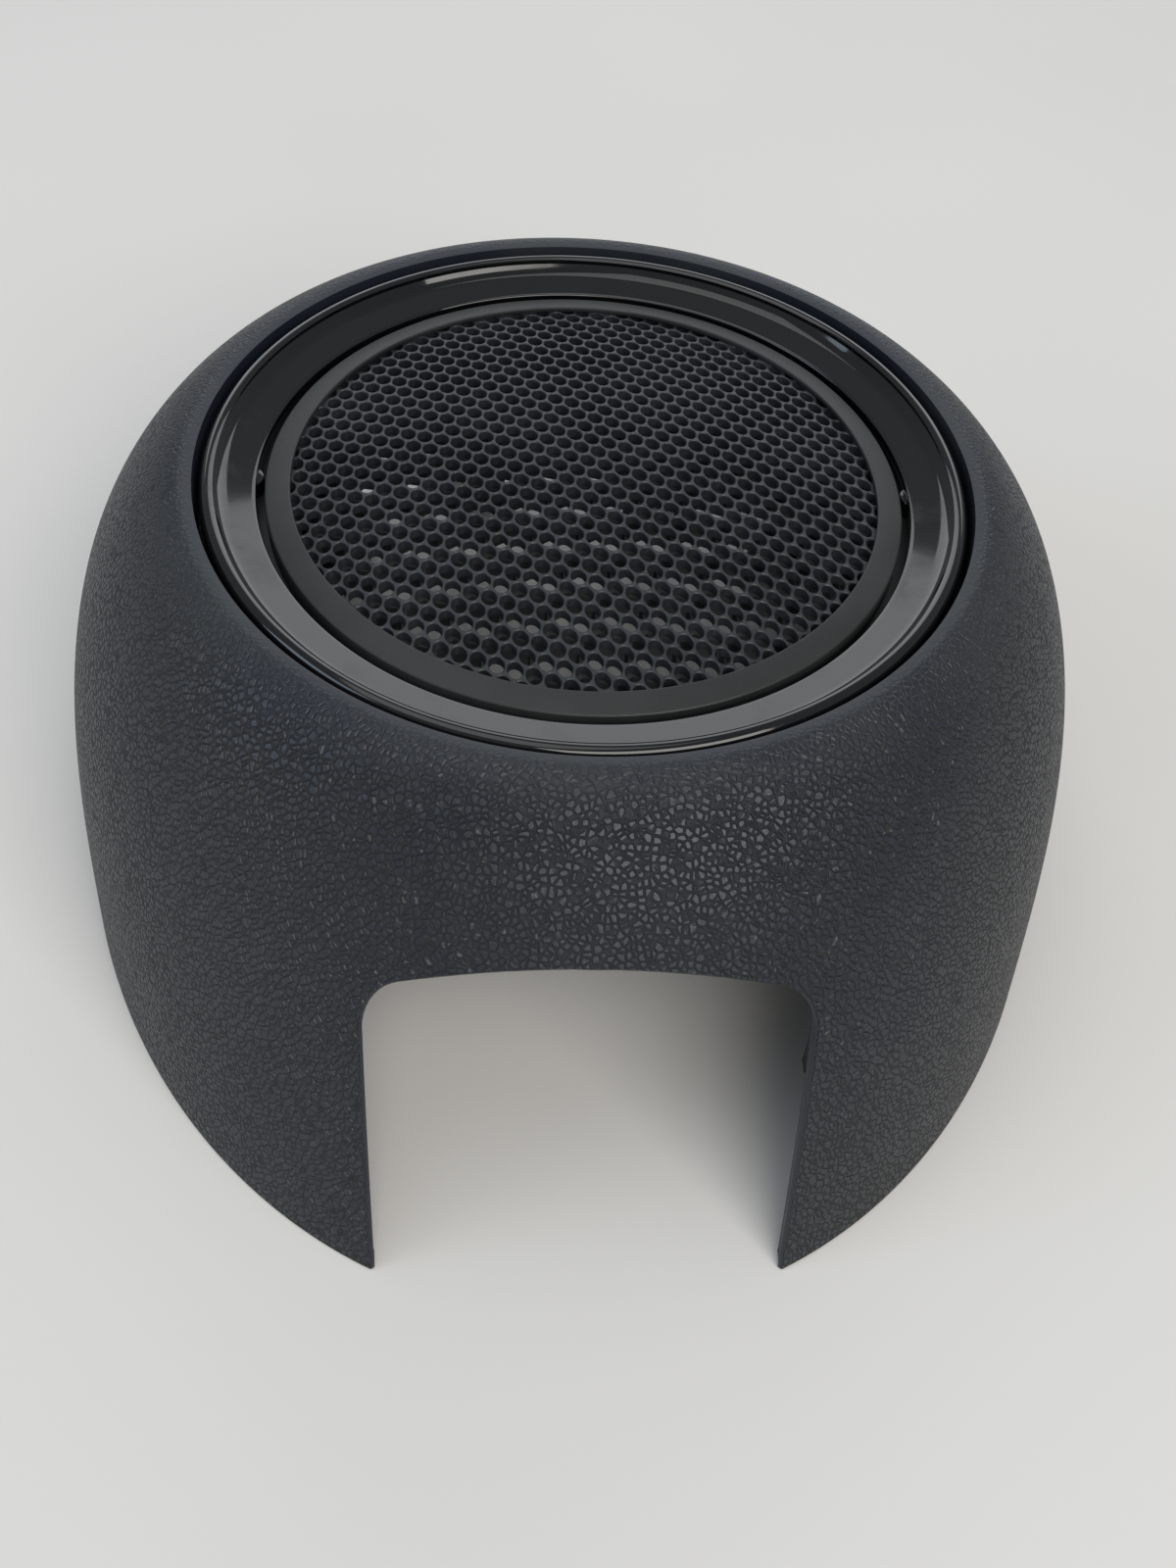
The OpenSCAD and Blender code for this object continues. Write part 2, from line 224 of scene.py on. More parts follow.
def makeSoft(name, dark, light, pore, depth):
    f = Finish(name, Specular_IOR_Level=0.2, Sheen_Weight=0.15)
    pores = f.add("ShaderNodeTexVoronoi", None, {"Vector": f.place, "Scale": 1 / (pore * mm)})
    fuzz = f.cloud(pore * 0.5, 4.0)
    f.drive("Base Color", f.blend(f.span(fuzz, 0.35, 0.7), dark, light))
    f.drive("Roughness", 0.85 + fuzz * 0.12)
    f.drive("Normal", f.bump(pores + fuzz, depth, 0.8))
    return f.material


finishes = {
    "shell_grain": makeShellGrain(),
    "gloss_black": makeGlossBlack(),
    "satin_black": makeSatinBlack("satinBlack", (0.021, 0.023, 0.0235), 0.42, 0.025),
    "grille_black": makeSatinBlack("grilleBlack", (0.022, 0.0245, 0.029), 0.36, 0.02),
    "spring_steel": makeMetal("springSteel", shade(0.33, 0.33, 0.34), shade(0.6, 0.6, 0.61), 0.24, 0.01),
    "brass": makeMetal("insertBrass", shade(0.42, 0.27, 0.09), shade(0.72, 0.53, 0.24), 0.26, 0.01),
    "foam_black": makeSoft("foamBlack", shade(0.012, 0.012, 0.013), shade(0.03, 0.03, 0.031), 0.6, 0.15),
    "felt_black": makeSoft("feltBlack", shade(0.01, 0.01, 0.012), shade(0.035, 0.035, 0.04), 0.35, 0.12),
}
print("finishes made")


# Meshes are built in millimetres about the grille's axis, then moved and scaled to the frame
def makePiece(name, bm, crispAt=35):
    bmesh.ops.translate(bm, verts=bm.verts, vec=(0, axisY, 0))
    bmesh.ops.scale(bm, verts=bm.verts, vec=(mm, mm, mm))
    mesh = bpy.data.meshes.new(name)
    bm.to_mesh(mesh)
    bm.free()
    return pieceFrom(name, mesh, crispAt)


def pieceFrom(name, mesh, crispAt):
    mesh.polygons.foreach_set("use_smooth", [True] * len(mesh.polygons))
    mesh.set_sharp_from_angle(angle=math.radians(crispAt))
    piece = bpy.data.objects.new(name, mesh)
    bpy.context.scene.collection.objects.link(piece)
    return piece


# Gives a piece its finish, hangs it on the root body and hides the frame's parts that it stands for
def settle(piece, slotName, *nodes):
    piece.data.materials.clear()
    piece.data.materials.append(finishes[slotName])
    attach(piece, "root")
    if nodes:
        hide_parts(*nodes)


# Each corner of a closed outline becomes a short curve
def rounded(outline, radius, steps=3):
    curve = []
    count = len(outline)
    for k in range(count):
        corner = Vector(outline[k])
        back = Vector(outline[k - 1]) - corner
        ahead = Vector(outline[(k + 1) % count]) - corner
        reach = min(radius, 0.45 * back.length, 0.45 * ahead.length)
        start = corner + back.normalized() * reach
        end = corner + ahead.normalized() * reach
        for step in range(steps + 1):
            t = step / steps
            curve.append(start * (1 - t) ** 2 + corner * 2 * t * (1 - t) + end * t * t)
    return curve


# Turns a closed (radius, height) outline round an upright axis
def revolve(bm, section, turns=256, centre=(0, 0), wave=None):
    rings = []
    for k in range(turns):
        angle = 2 * math.pi * k / turns
        ring = []
        for radius, height in section:
            r = radius + (wave(angle, radius, height) if wave else 0)
            ring.append(bm.verts.new((centre[0] + r * math.cos(angle),
                                      centre[1] + r * math.sin(angle), height)))
        rings.append(ring)
    faces = []
    count = len(section)
    for k in range(turns):
        here, after = rings[k], rings[(k + 1) % turns]
        for i in range(count):
            j = (i + 1) % count
            faces.append(bm.faces.new((here[i], after[i], after[j], here[j])))
    bmesh.ops.recalc_face_normals(bm, faces=faces)


# An outline in two directions, given a thickness along a third
def slab(bm, outline, across, up, thick, origin=(0, 0, 0)):
    across, up, origin = Vector(across), Vector(up), Vector(origin)
    side = across.cross(up) * (thick / 2)
    rows = [[bm.verts.new(origin + across * p[0] + up * p[1] + side * s) for p in outline]
            for s in (-1, 1)]
    faces = [bm.faces.new(rows[0]), bm.faces.new(rows[1])]
    count = len(outline)
    for k in range(count):
        j = (k + 1) % count
        faces.append(bm.faces.new((rows[0][k], rows[0][j], rows[1][j], rows[1][k])))
    bmesh.ops.recalc_face_normals(bm, faces=faces)


# The shell's form in millimetres; along the wall, u runs from 0 at the lip to 1 at the foot
shell = {"wall": 2.4, "lipR": 48.5, "recessR": 47.0, "ledgeR": 43.3, "ledgeDrop": 6.9,
         "ledgeThick": 3.0, "frontReach": 85.0, "rearReach": 64.0, "rollSharp": 3.1,
         "rollSoft": 1.4, "flare": 1.3, "spokes": 400, "levels": 60, "innerLevels": 30,
         "crowd": 1.8, "innerCrowd": 1.4, "innerTop": 0.0412, "tube": 1.5, "edge": 0.35}
grainAt = {"lip": 0.1, "top": 0.25, "full": 0.3, "foot": 0.7, "inside": 0.2}
edgeTurns = [math.radians(turn) for turn in (30, 60, 90)]
sideReach = shellHigh.x
ledgeZ = lipZ - shell["ledgeDrop"]
ledgeFoot = ledgeZ - shell["ledgeThick"]


def roll(u):
    return (1 - (1 - u) ** shell["rollSharp"]) ** (1 / shell["rollSoft"])


def wallPoint(u, angle, inset):
    side = shell["lipR"] + (sideReach - shell["lipR"]) * roll(u) - inset
    front = side + (shell["frontReach"] - sideReach) * u ** shell["flare"]
    rear = side + (shell["rearReach"] - sideReach) * u
    reach = front if math.sin(angle) < 0 else rear
    return Vector((side * math.cos(angle), reach * math.sin(angle), (lipZ - inset) * (1 - u)))


# Height of the wall's face, drawn in by inset, above a point inside it
def roofOver(x, y, inset):
    low, high = 0.0, 1.0
    for _ in range(30):
        u = (low + high) / 2
        rim = wallPoint(u, 0, inset).x
        reach = abs(wallPoint(u, math.copysign(math.pi / 2, y), inset).y)
        inside = (x / rim) ** 2 + (y / reach) ** 2 < 1
        low, high = (low, u) if inside else (u, high)
    return (lipZ - inset) * (1 - high)


# Where the round corner of an opening has its middle, and the direction in which it meets the arch
def doorCorner(door):
    x = door["half"] + door["flare"] - door["corner"]
    foot = door["top"] - door["arch"]
    z = foot + math.sqrt((door["arch"] - door["corner"]) ** 2 - x ** 2)
    return x, z, math.atan2(z - foot, x)


# An opening in the wall, seen along Y: flared sides, round corners and an arched top
def doorOutline(door, grow, steps=9):
    x, z, meet = doorCorner(door)
    r, arch, foot = door["corner"] + grow, door["arch"] + grow, door["top"] - door["arch"]
    side = [(x + r * math.cos(a), z + r * math.sin(a))
            for a in (meet * k / steps for k in range(steps + 1))]
    side += [(arch * math.cos(a), foot + arch * math.sin(a))
             for a in (meet + (math.pi / 2 - meet) * k / steps for k in range(1, steps))]
    half = door["half"] + grow
    return [(half, -5.0)] + side + [(-x, z) for x, z in reversed(side)] + [(-half, -5.0)]


# Direction away from the opening, and a measure that grows along its outline from the left foot
def doorSide(door, x, z):
    cornerX, cornerZ, meet = doorCorner(door)
    foot = door["top"] - door["arch"]
    if z < cornerZ:
        away = Vector((1, 0, 0))
    elif math.atan2(z - foot, abs(x)) > meet:
        away = Vector((abs(x), 0, z - foot)).normalized()
    else:
        away = Vector((abs(x) - cornerX, 0, z - cornerZ)).normalized()
    away.x = math.copysign(away.x, x)
    return away, math.atan2(x, z - door["top"] / 3)


def cutDoor(bm, door, facing):
    outline = doorOutline(door, shell["edge"])
    above = door["top"] + 2
    faces = [f for f in bm.faces if f.calc_center_median().y * facing > door["from"]
             and f.calc_center_median().z < above]
    middle = Vector((0, 0, 1))
    planes = list(zip(outline, outline[1:]))
    planes.sort(key=lambda pair: -(pair[0][1] + pair[1][1]))
    for (x1, z1), (x2, z2) in planes:
        at, along = Vector((x1, 0, z1)), Vector((x2 - x1, 0, z2 - z1)).normalized()
        out = Vector((along.z, 0, -along.x))
        if (middle - at).dot(out) > 0:
            out.negate()
        geom = list(dict.fromkeys(item for f in faces for item in (f, *f.edges, *f.verts)))
        result = bmesh.ops.bisect_plane(bm, geom=geom, plane_co=at, plane_no=out, dist=1e-5)
        faces = [f for f in result["geom"] if isinstance(f, bmesh.types.BMFace)
                 and (f.calc_center_median() - at).dot(out) < 0]
    bmesh.ops.delete(bm, geom=faces, context="FACES")


# Rounds the cut edges of the wall and closes its end face
def closeDoor(bm, door, facing):
    bm.normal_update()
    edges = [e for e in bm.edges if e.is_boundary and e.verts[0].co.y * facing > 0]
    rest = set(edges)
    edge = edges[0]
    start, here = edge.verts
    loop = [start]
    while here is not start:
        loop.append(here)
        rest.discard(edge)
        edge = next(e for e in here.link_edges if e in rest)
        here = edge.other_vert(here)
    made = []
    rows = [loop]
    away = [doorSide(door, v.co.x, v.co.z)[0] for v in loop]
    normals = [v.normal.copy() for v in loop]
    r = shell["edge"]
    for t in edgeTurns:
        rows.append([bm.verts.new(v.co - a * r * math.sin(t) - n * r * (1 - math.cos(t)))
                     for v, a, n in zip(loop, away, normals)])
    count = len(loop)
    for first, second in zip(rows, rows[1:]):
        for k in range(count):
            j = (k + 1) % count
            made.append(bm.faces.new((first[k], first[j], second[j], second[k])))
    last = rows[-1]
    foot = {"below": 0.5, "upright": 0.99, "lowest": 0.4}
    feet = []
    for hand in (-1, 1):
        low = [k for k in range(count) if last[k].co.z < foot["below"]
               and last[k].co.x * hand > 0 and abs(away[k].x) > foot["upright"]]
        middle = sum(last[k].co.y for k in low) / len(low)
        feet.append(min(low, key=lambda k: (last[k].co.z > foot["lowest"],
                                            abs(last[k].co.y - middle))))
    a, b = sorted(feet)
    chains = [last[a:b + 1], (last[b:] + last[:a + 1])[::-1]]
    if feet[0] != a:
        chains = [c[::-1] for c in chains]
    spots = [[doorSide(door, v.co.x, v.co.z)[1] for v in c] for c in chains]
    i = j = 0
    while i < len(chains[0]) - 1 or j < len(chains[1]) - 1:
        canFirst, canSecond = i < len(chains[0]) - 1, j < len(chains[1]) - 1
        if canFirst and (not canSecond or spots[0][i + 1] <= spots[1][j + 1]):
            three = (chains[0][i], chains[0][i + 1], chains[1][j])
            i += 1
        else:
            three = (chains[0][i], chains[1][j + 1], chains[1][j])
            j += 1
        if len(set(three)) == 3:
            made.append(bm.faces.new(three))


def makeShell():
    frontDoor = {"half": 23.1, "flare": 1.2, "top": ledgeFoot - 4.1, "corner": 6.5, "arch": 54.0,
                 "from": 25}
    rearDoor = {"half": 36.0, "flare": 0.0, "top": 24.0, "corner": 5.0, "arch": 300.0, "from": 25}
    wall, edge, lipR, recessR = shell["wall"], shell["edge"], shell["lipR"], shell["recessR"]
    tubeR = lipR + shell["tube"]
    rimU = 1 - edge / lipZ
    innerRimU = 1 - edge / (lipZ - wall)
    innerTop, innerLevels = shell["innerTop"], shell["innerLevels"]
    hoop = rounded([(tubeR, ledgeFoot), (shell["ledgeR"], ledgeFoot), (shell["ledgeR"], ledgeZ),
                    (recessR, ledgeZ), (recessR, lipZ)], 0.3)
    bm = bmesh.new()
    grain = bm.verts.layers.float.new("grain")
    rings = []
    levels = shell["levels"]
    for k in range(shell["spokes"]):
        angle = 2 * math.pi * (k + 0.5) / shell["spokes"]
        outward = Vector((math.cos(angle), math.sin(angle), 0))
        ring = []

        def station(place, mark):
            v = bm.verts.new(place)
            v[grain] = mark
            ring.append(v)

        station(outward * (lipR - 0.5) + Vector((0, 0, lipZ)), grainAt["lip"])
        for i in range(levels + 1):
            u = rimU * (i / levels) ** shell["crowd"]
            full = min(1.0, roll(u) / grainAt["full"])
            station(wallPoint(u, angle, 0), grainAt["top"] + (1 - grainAt["top"]) * full)
        foot = wallPoint(rimU, angle, 0)
        inner = wallPoint(innerRimU, angle, wall)
        for t in edgeTurns:
            drop = Vector((0, 0, edge * math.sin(t)))
            station(foot - outward * edge * (1 - math.cos(t)) - drop, grainAt["foot"])
        for t in reversed(edgeTurns):
            drop = Vector((0, 0, edge * math.sin(t)))
            station(inner + outward * edge * (1 - math.cos(t)) - drop, grainAt["inside"])
        for i in range(innerLevels, -1, -1):
            u = innerTop + (innerRimU - innerTop) * (i / innerLevels) ** shell["innerCrowd"]
            place = wallPoint(u, angle, wall)
            if i == 0:
                place = outward * tubeR + Vector((0, 0, place.z))
            station(place, 0.0)
        for r, z in hoop[2:-2]:
            station(outward * r + Vector((0, 0, z)), 0.0)
        rings.append(ring)
    count = len(rings[0])
    for k, ring in enumerate(rings):
        after = rings[(k + 1) % len(rings)]
        for i in range(count):
            j = (i + 1) % count
            bm.faces.new((ring[i], ring[j], after[j], after[i]))
    bmesh.ops.recalc_face_normals(bm, faces=bm.faces)
    for door, facing in ((frontDoor, -1), (rearDoor, 1)):
        cutDoor(bm, door, facing)
        closeDoor(bm, door, facing)
    bmesh.ops.recalc_face_normals(bm, faces=bm.faces)
    print("shell:", len(bm.faces), "faces, open edges:", sum(e.is_boundary for e in bm.edges))
    settle(makePiece("shellBody", bm, 40), "shell_grain", "housing_shell")


makeShell()


# A funnel-shaped ring, with bosses for the carrier's screws and posts for the push nuts
def makeTrimRing():
    form = {"bore": bezelR + 1.0, "innerZ": ringHigh.z - 2.45, "skirtR": 43.8, "flatTo": 42.9,
            "flatSlope": 9.0, "steepSlope": 44.0, "bendOver": 1.5, "crestR": 1.05, "lead": 0.35,
            "step": 0.15, "innerDeep": 3.0}
    bore, innerZ, skirtR, crestR = form["bore"], form["innerZ"], form["skirtR"], form["crestR"]
    leadR = bore + form["lead"]
    flangeZ = ledgeZ + 0.4
    top = []
    r, z = leadR, innerZ
    while r < ringR - crestR - form["lead"]:
        top.append((r, z))
        t = min(1.0, max(0.0, (r - form["flatTo"]) / form["bendOver"]))
        slope = form["flatSlope"] + (form["steepSlope"] - form["flatSlope"]) * t * t * (3 - 2 * t)
        r += form["step"]
        z += form["step"] * math.tan(math.radians(slope))
    crest = []
    for turn in range(130, -1, -13):
        a = math.radians(turn)
        crest.append((ringR - crestR * (1 - math.cos(a)), ringHigh.z - crestR * (1 - math.sin(a))))
    boreSide = rounded([(leadR, innerZ), (bore, innerZ - 0.15), (bore, innerZ - 1.4),
                        (bore + 0.6, innerZ - 1.6)], 0.2)
    under = [(ringR, flangeZ + 0.3), (ringR - 0.3, flangeZ), (skirtR + 0.2, flangeZ),
             (skirtR, flangeZ + 0.2), (skirtR, ringHigh.z - form["innerDeep"])]
    section = boreSide[::-1][:-4] + top + crest + under
    bm = bmesh.new()
    revolve(bm, section, 360)
    bossFoot, bossTop, postTop = ledgeZ + 0.9, innerZ - 0.9, flangeZ + 0.8
    boss = rounded([(0.8, bossFoot), (1.9, bossFoot), (1.9, bossTop), (0.8, bossTop)], 0.15)
    post = rounded([(0.02, ringLow.z), (1.1, ringLow.z), (1.1, postTop), (0.02, postTop)], 0.3)
    for k in range(6):
        for outline, radius, turn in ((boss, bossR, 0), (post, postR, 30)):
            a = math.radians(60 * k + turn)
            revolve(bm, outline, 24, (radius * math.cos(a), radius * math.sin(a)))
    settle(makePiece("trimRing", bm, 32), "gloss_black", "trim_ring")


# The plate's dome, whose rim is level
dome = {"radius": 35.7, "rise": 3.4, "centre": plateHigh.z + 0.15, "thick": 1.3}


def plateTopAt(r):
    return dome["centre"] - dome["rise"] * (min(r, dome["radius"]) / dome["radius"]) ** 2


def makeBezel():
    form = {"inner": 35.7, "drop": 0.75, "play": 0.1, "gap": 0.02, "round": 0.28}
    inner, seatR = form["inner"], plateR + form["play"]
    section = rounded([(inner, plateTopAt(inner) + form["gap"]), (inner, bezelZ),
                       (bezelR, bezelZ - form["drop"]), (bezelR, bezelLow.z),
                       (seatR, bezelLow.z), (seatR, plateTopAt(plateR) + form["gap"])],
                      form["round"], 4)
    bm = bmesh.new()
    revolve(bm, section, 360)
    settle(makePiece("grilleBezel", bm, 40), "satin_black", "grille_bezel")


def makeGasket(name, node, outer, inner):
    low, high = boxOf(node)
    section = rounded([(inner, low.z), (outer, low.z), (outer, high.z), (inner, high.z)], 0.12)
    bm = bmesh.new()
    revolve(bm, section, 180)
    settle(makePiece(name, bm, 60), "foam_black", node)


makeTrimRing()
makeBezel()
makeGasket("ringGasket", "ring_gasket", boxOf("ring_gasket")[1].x, 43.4)
makeGasket("plateGasket", "plate_gasket", plateR, 36.1)
print("rings made")


# A Geometry Nodes tree with the given inputs and one geometry output
def newTree(name, inputs):
    tree = bpy.data.node_groups.new(name, "GeometryNodeTree")
    for label, kind in inputs:
        tree.interface.new_socket(label, in_out="INPUT", socket_type="NodeSocket" + kind)
    tree.interface.new_socket("Geometry", in_out="OUTPUT", socket_type="NodeSocketGeometry")
    net = Net(tree)
    given = tree.nodes.new("NodeGroupInput")
    return net, {label: Wire(net, given.outputs[label]) for label, _ in inputs}


def finishTree(net, geometry, material):
    real = net.add("GeometryNodeRealizeInstances", None, {"Geometry": geometry})
    return net.add("GeometryNodeSetMaterial", None, {"Geometry": real, "Material": material})


def closeTree(net, geometry):
    end = net.tree.nodes.new("NodeGroupOutput")
    net.tree.links.new(geometry.socket, end.inputs["Geometry"])
    return net.tree


def growMesh(name, tree, values, seed=None):
    host = bpy.data.objects.new(name + "Seed", seed or bpy.data.meshes.new(name + "Seed"))
    bpy.context.scene.collection.objects.link(host)
    grow = host.modifiers.new("grow", "NODES")
    grow.node_group = tree
    for item in tree.interface.items_tree:
        if item.in_out == "INPUT" and item.name in values:
            grow[item.identifier] = values[item.name]
    ready = host.evaluated_get(bpy.context.evaluated_depsgraph_get())
    mesh = bpy.data.meshes.new_from_object(ready)
    bpy.data.objects.remove(host)
    mesh.name = name
    return mesh


def hiddenPart(name, bm):
    bmesh.ops.scale(bm, verts=bm.verts, vec=(mm, mm, mm))
    mesh = bpy.data.meshes.new(name)
    bm.to_mesh(mesh)
    bm.free()
    return bpy.data.objects.new(name, mesh)


# Repeats one tile over a slanted grid inside a circle and lays the result over the dome
def latticeTree():
    net, given = newTree("domeLattice", [
        ("Geometry", "Geometry"), ("Tile", "Object"), ("Count", "Int"), ("Step one", "Vector"),
        ("Step two", "Vector"), ("Reach", "Float"), ("Trim", "Float"), ("Turn", "Float"),
        ("Dome radius", "Float"), ("Dome rise", "Float"), ("Place", "Vector"), ("Finish", "Material")])
    span = given["Count"] - 1
    grid = net.add("GeometryNodeMeshGrid", None, {
        "Size X": span, "Size Y": span, "Vertices X": given["Count"], "Vertices Y": given["Count"]})

    def apart():
        return net.add("ShaderNodeSeparateXYZ", None, {0: net.add("GeometryNodeInputPosition")})

    def scaled(vector, factor):
        return net.add("ShaderNodeVectorMath", {"operation": "SCALE"}, {0: vector, "Scale": factor})

    index = apart()
    column = index.sum("ROUND", index)
    row = index.sum("ROUND", index.other("Y"))
    spot = net.add("ShaderNodeVectorMath", {"operation": "ADD"}, {
        0: scaled(given["Step one"], column), 1: scaled(given["Step two"], row)})
    spots = net.add("GeometryNodeSetPosition", None, {"Geometry": grid, "Position": spot})
    length = net.add("ShaderNodeVectorMath", {"operation": "LENGTH"},
                     {0: net.add("GeometryNodeInputPosition")}, "Value")
    spots = net.add("GeometryNodeDeleteGeometry", {"domain": "POINT"},
                    {"Geometry": spots, "Selection": length > given["Reach"]})
    tile = net.add("GeometryNodeObjectInfo", None, {"Object": given["Tile"]}, "Geometry")
    laid = net.add("GeometryNodeInstanceOnPoints", None, {"Points": spots, "Instance": tile})
    laid = net.add("GeometryNodeRealizeInstances", None, {"Geometry": laid})
    laid = net.add("GeometryNodeMergeByDistance", None, {"Geometry": laid, "Distance": 0.02 * mm})
    turn = net.add("ShaderNodeCombineXYZ", None, {"Z": given["Turn"]})
    laid = net.add("GeometryNodeTransform", None, {"Geometry": laid, "Rotation": turn})
    at = apart()
    square = at * at + at.other("Y") * at.other("Y")
    far = square.sum("SQRT", square)
    keep = far.sum("MINIMUM", 1.0, given["Trim"] / far.sum("MAXIMUM", far, mm))
    near = far.sum("MINIMUM", far, given["Dome radius"]) / given["Dome radius"]
    drop = near * near * given["Dome rise"]
    place = net.add("ShaderNodeCombineXYZ", None, {
        "X": at * keep, "Y": at.other("Y") * keep, "Z": at.other("Z") - drop})
    laid = net.add("GeometryNodeSetPosition", None, {
        "Geometry": laid, "Position": place, "Offset": given["Place"]})
    return closeTree(net, finishTree(net, laid, given["Finish"]))


# Sets a fitting on every point of the seed mesh, turned as the point says
def fittingTree():
    net, given = newTree("fittings", [
        ("Geometry", "Geometry"), ("Fitting", "Object"), ("Finish", "Material")])
    turn = net.add("GeometryNodeInputNamedAttribute", {"data_type": "FLOAT"}, {"Name": "turn"})
    euler = net.add("ShaderNodeCombineXYZ", None, {"Z": turn})
    rotation = net.add("FunctionNodeEulerToRotation", None, {0: euler})
    fitting = net.add("GeometryNodeObjectInfo", None, {"Object": given["Fitting"]}, "Geometry")
    placed = net.add("GeometryNodeInstanceOnPoints", None, {
        "Points": given["Geometry"], "Instance": fitting, "Rotation": rotation})
    return closeTree(net, finishTree(net, placed, given["Finish"]))


lattice = latticeTree()
fittings = fittingTree()


# Spacing and size of the perforations, on rows turned about the axis
holes = {"along": 2.606, "across": 1.758, "length": 2.24, "width": 1.745, "turn": 16.7,
         "reach": 36.35, "trim": 1000.0, "count": 61, "edge": 0.11, "taper": 0.02, "sides": 3}


# Corners of the region nearer to the middle than to any neighbour
def cellCorners(one, two):
    near = [one, one + two, two, -one, -one - two, -two]
    corners = []
    for k in range(6):
        p, q = near[k], near[(k + 1) % 6]
        d = 2 * (p.x * q.y - p.y * q.x)
        corners.append(Vector(((q.y * p.dot(p) - p.y * q.dot(q)) / d,
                               (p.x * q.dot(q) - q.x * p.dot(p)) / d)))
    return corners


def splitSides(corners, parts):
    return [corners[k].lerp(corners[(k + 1) % len(corners)], i / parts)
            for k in range(len(corners)) for i in range(parts)]


# Joins closed rows of points, one after the other, into bands
def bands(bm, rows):
    made = [[bm.verts.new(p) for p in row] for row in rows]
    count = len(rows[0])
    for first, second in zip(made, made[1:]):
        for k in range(count):
            j = (k + 1) % count
            bm.faces.new((first[k], first[j], second[j], second[k]))
    return made


def makeHoleTile():
    one = Vector((holes["across"], holes["along"] / 2))
    two = Vector((-holes["across"], holes["along"] / 2))
    outline = splitSides(cellCorners(one, two), holes["sides"])

    def oval(grow, z):
        a, b = holes["width"] / 2 + grow, holes["length"] / 2 + grow
        ring = []
        for p in outline:
            t = math.atan2(p.y / b, p.x / a)
            ring.append((a * math.cos(t), b * math.sin(t), z))
        return ring

    edge, thick = holes["edge"], dome["thick"]
    bm = bmesh.new()
    bands(bm, [[(p.x, p.y, 0) for p in outline], oval(edge, 0), oval(0, -edge),
               oval(holes["taper"], -thick), [(p.x, p.y, -thick) for p in outline]])
    bmesh.ops.recalc_face_normals(bm, faces=bm.faces)
    up = max(bm.faces, key=lambda f: f.calc_center_median().z)
    if up.normal.z < 0:
        bmesh.ops.reverse_faces(bm, faces=bm.faces)
    return hiddenPart("holeTile", bm), one, two


# Fills between the tiles' ragged edge and the plate's round edge, top and bottom
def closePlateEdge(mesh):
    bm = bmesh.new()
    bm.from_mesh(mesh)
    rim = {"sides": 160, "near": 0.6}
    sides, radius, middle = rim["sides"], plateR * mm, axisY * mm
    rims = []
    for hand in (1, -1):
        level = plateTopAt(plateR) - (0 if hand > 0 else dome["thick"])
        ragged = [e for e in bm.edges if e.is_boundary
                  and all(abs(v.co.z / mm - level) < rim["near"] for v in e.verts)]
        circle = [bm.verts.new((radius * math.cos(a), middle + radius * math.sin(a), level * mm))
                  for a in (2 * math.pi * k / sides for k in range(sides))]
        loop = [bm.edges.new((circle[k - 1], circle[k])) for k in range(sides)]
        bmesh.ops.triangle_fill(bm, edges=ragged + loop, use_beauty=True, normal=(0, 0, hand))
        rims.append(circle)
    for k in range(sides):
        bm.faces.new((rims[0][k - 1], rims[0][k], rims[1][k], rims[1][k - 1]))
    bmesh.ops.recalc_face_normals(bm, faces=bm.faces)
    print("plate:", len(bm.faces), "faces, open edges:", sum(e.is_boundary for e in bm.edges))
    bm.to_mesh(mesh)
    bm.free()


def makePlate():
    tile, one, two = makeHoleTile()
    mesh = growMesh("grillePlate", lattice, {
        "Tile": tile, "Count": holes["count"], "Step one": (one.x * mm, one.y * mm, 0),
        "Step two": (two.x * mm, two.y * mm, 0), "Reach": holes["reach"] * mm,
        "Trim": holes["trim"] * mm,
        "Turn": math.radians(holes["turn"]), "Dome radius": dome["radius"] * mm,
        "Dome rise": dome["rise"] * mm, "Place": (0, axisY * mm, dome["centre"] * mm),
        "Finish": finishes["grille_black"]})
    closePlateEdge(mesh)
    settle(pieceFrom("grillePlate", mesh, 40), "grille_black", "grille_plate")


makePlate()
print("plate made")


